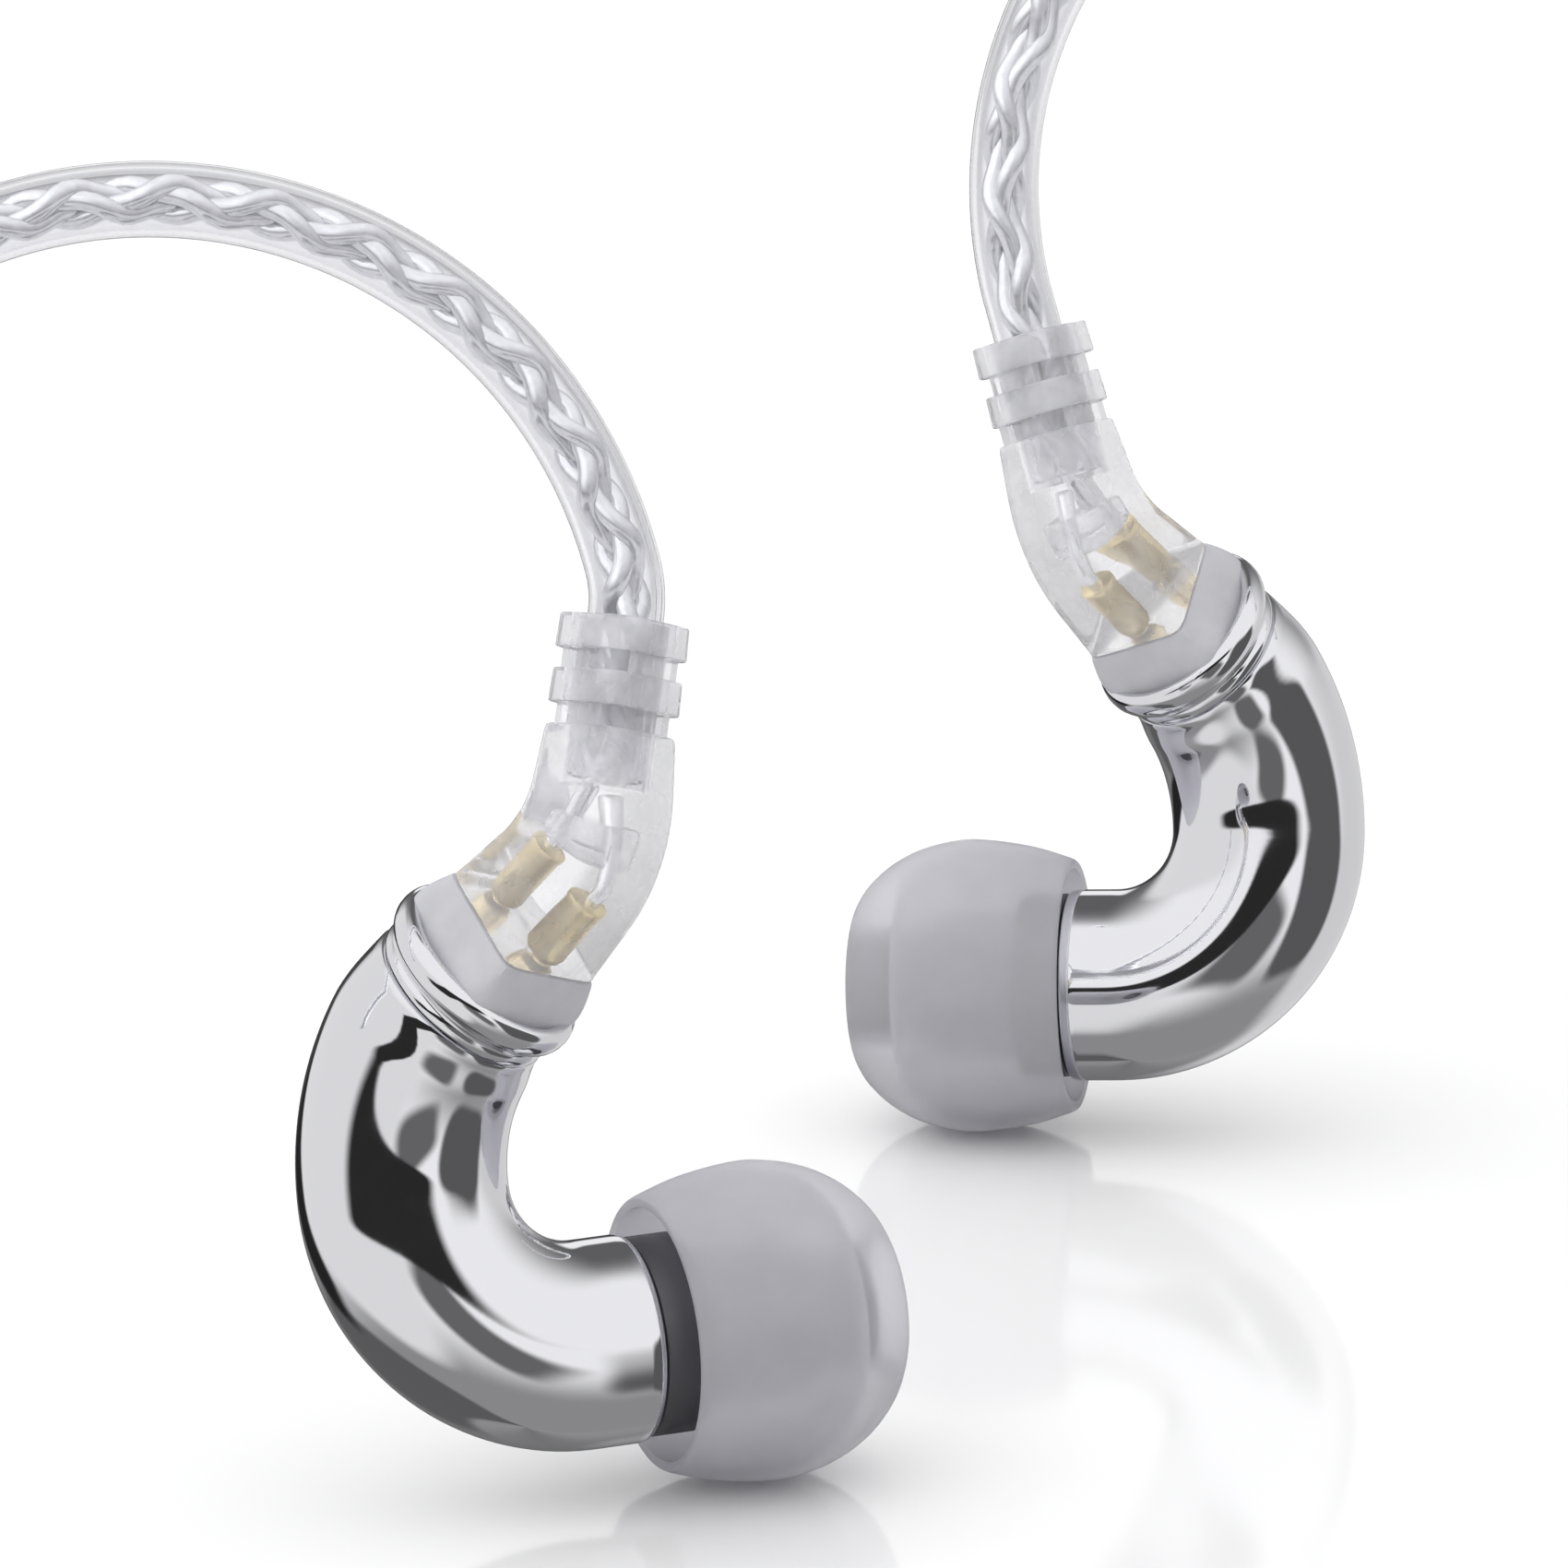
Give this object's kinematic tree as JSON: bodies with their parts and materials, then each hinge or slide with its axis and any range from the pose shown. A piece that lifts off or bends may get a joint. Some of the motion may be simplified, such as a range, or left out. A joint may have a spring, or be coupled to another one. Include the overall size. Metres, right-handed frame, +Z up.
{
  "type": "in-ear monitors",
  "caption": "Pair of chrome tube earpieces on silicone tips, with clear angled two-pin plugs, ear hooks, a round cable, splitter, chin slider and 3.5 mm jack.",
  "frame": {"origin": "on the floor plane, under the middle of the box round the two standing earpieces and their ear hooks", "axes": "+Z up; +X from the left earpiece's hook to the right one's; +Y away from the viewer, towards the far earpiece"},
  "size_m": [0.0945, 0.1374, 0.0591],
  "materials": {
    "chrome": "polished",
    "steel": "fine brushed",
    "gold": "gold plated, satin",
    "magnet": "nickel plated, dull",
    "silicone": "translucent, satin",
    "grey_resin": "frosted",
    "clear_resin": "clear, slightly milky",
    "film": "thin film",
    "dark_plastic": "satin",
    "cable_jacket": "clear jacket over silver-white strands",
    "enamel": "enamelled wire"
  },
  "bodies": {
    "earphones": {"left_shell": "chrome", "left_rear_collar": "chrome", "left_socket_hood": "grey_resin", "left_socket_contact_a": "gold", "left_socket_contact_b": "gold", "left_nozzle": "chrome", "left_nozzle_mesh": "steel", "left_damper": "film", "left_driver_frame": "steel", "left_driver_magnet": "magnet", "left_driver_lead_a": "enamel", "left_driver_lead_b": "enamel", "right_shell": "chrome", "right_rear_collar": "chrome", "right_socket_hood": "grey_resin", "right_socket_contact_a": "gold", "right_socket_contact_b": "gold", "right_nozzle": "chrome", "right_nozzle_mesh": "steel", "right_damper": "film", "right_driver_frame": "steel", "right_driver_magnet": "magnet", "right_driver_lead_a": "enamel", "right_driver_lead_b": "enamel", "left_cable": "cable_jacket", "right_cable": "cable_jacket", "main_cable": "cable_jacket", "jack_lead": "cable_jacket", "cable_coil": "cable_jacket", "cable_tie": "dark_plastic", "y_splitter": "steel", "jack_boot": "grey_resin", "jack_housing": "chrome", "jack_sleeve": "gold", "jack_ring": "gold", "jack_tip": "gold", "jack_insulator_a": "dark_plastic", "jack_insulator_b": "dark_plastic"},
    "left_plug": {"left_plug_body": "clear_resin", "left_plug_insert": "clear_resin", "left_plug_pin_a": "gold", "left_plug_pin_b": "gold", "left_strain_relief": "clear_resin", "left_ear_hook": "clear_resin", "left_hook_cable": "cable_jacket"},
    "left_tip": {"left_eartip": "silicone"},
    "left_diaphragm": {"left_driver_diaphragm": "film"},
    "right_plug": {"right_plug_body": "clear_resin", "right_plug_insert": "clear_resin", "right_plug_pin_a": "gold", "right_plug_pin_b": "gold", "right_strain_relief": "clear_resin", "right_ear_hook": "clear_resin", "right_hook_cable": "cable_jacket"},
    "right_tip": {"right_eartip": "silicone"},
    "right_diaphragm": {"right_driver_diaphragm": "film"},
    "slider": {"chin_slider": "clear_resin"}
  },
  "joints": [
    {"name": "left_tip_pull", "type": "slide", "parent": "earphones", "child": "left_tip", "axis": [0.927, 0.3745, 0.0175], "range_m": [0, 0.008]},
    {"name": "left_plug_pull", "type": "slide", "parent": "earphones", "child": "left_plug", "axis": [0.6158, -0.2216, 0.7561], "range_m": [0, 0.005]},
    {"name": "left_diaphragm_stroke", "type": "slide", "parent": "earphones", "child": "left_diaphragm", "axis": [0.927, 0.3745, 0.0175], "range_m": [-0.00015, 0.00015], "stiffness_N_per_m": 1},
    {"name": "right_tip_pull", "type": "slide", "parent": "earphones", "child": "right_tip", "axis": [-0.9834, 0.1734, -0.0541], "range_m": [0, 0.008]},
    {"name": "right_plug_pull", "type": "slide", "parent": "earphones", "child": "right_plug", "axis": [-0.6119, -0.3612, 0.7036], "range_m": [0, 0.005]},
    {"name": "right_diaphragm_stroke", "type": "slide", "parent": "earphones", "child": "right_diaphragm", "axis": [-0.9834, 0.1734, -0.0541], "range_m": [-0.00015, 0.00015], "stiffness_N_per_m": 1},
    {"name": "slider_travel", "type": "slide", "parent": "earphones", "child": "slider", "axis": [0, 1, 0], "range_m": [0, 0.013]}
  ]
}
